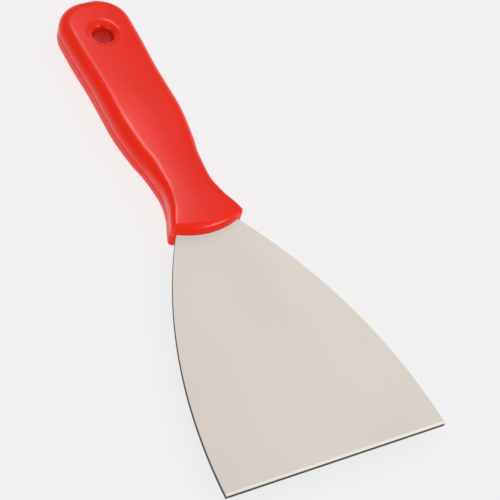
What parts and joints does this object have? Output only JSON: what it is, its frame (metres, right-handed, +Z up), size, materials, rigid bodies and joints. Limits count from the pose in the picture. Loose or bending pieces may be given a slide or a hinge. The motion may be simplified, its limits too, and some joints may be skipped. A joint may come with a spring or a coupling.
{
  "type": "hive tool",
  "caption": "Broad flared stainless scraper with a straight edge, and a contoured red plastic handle with a dished hanging hole.",
  "frame": {"origin": "under the middle of the tool, on the surface that it lies on", "axes": "+X along the tool towards the blade's tip, +Y across the blade, +Z up, square to the blade's faces"},
  "size_m": [0.252, 0.1, 0.0173],
  "materials": {
    "blade_steel": "satin stainless, fine grain along the tool",
    "handle_plastic": "semi-gloss moulded red",
    "pin_steel": "ground"
  },
  "bodies": {
    "root": {"blade": "blade_steel", "handle_upper_half": "handle_plastic", "handle_lower_half": "handle_plastic", "tang_pin_front": "pin_steel", "tang_pin_rear": "pin_steel"}
  },
  "joints": []
}
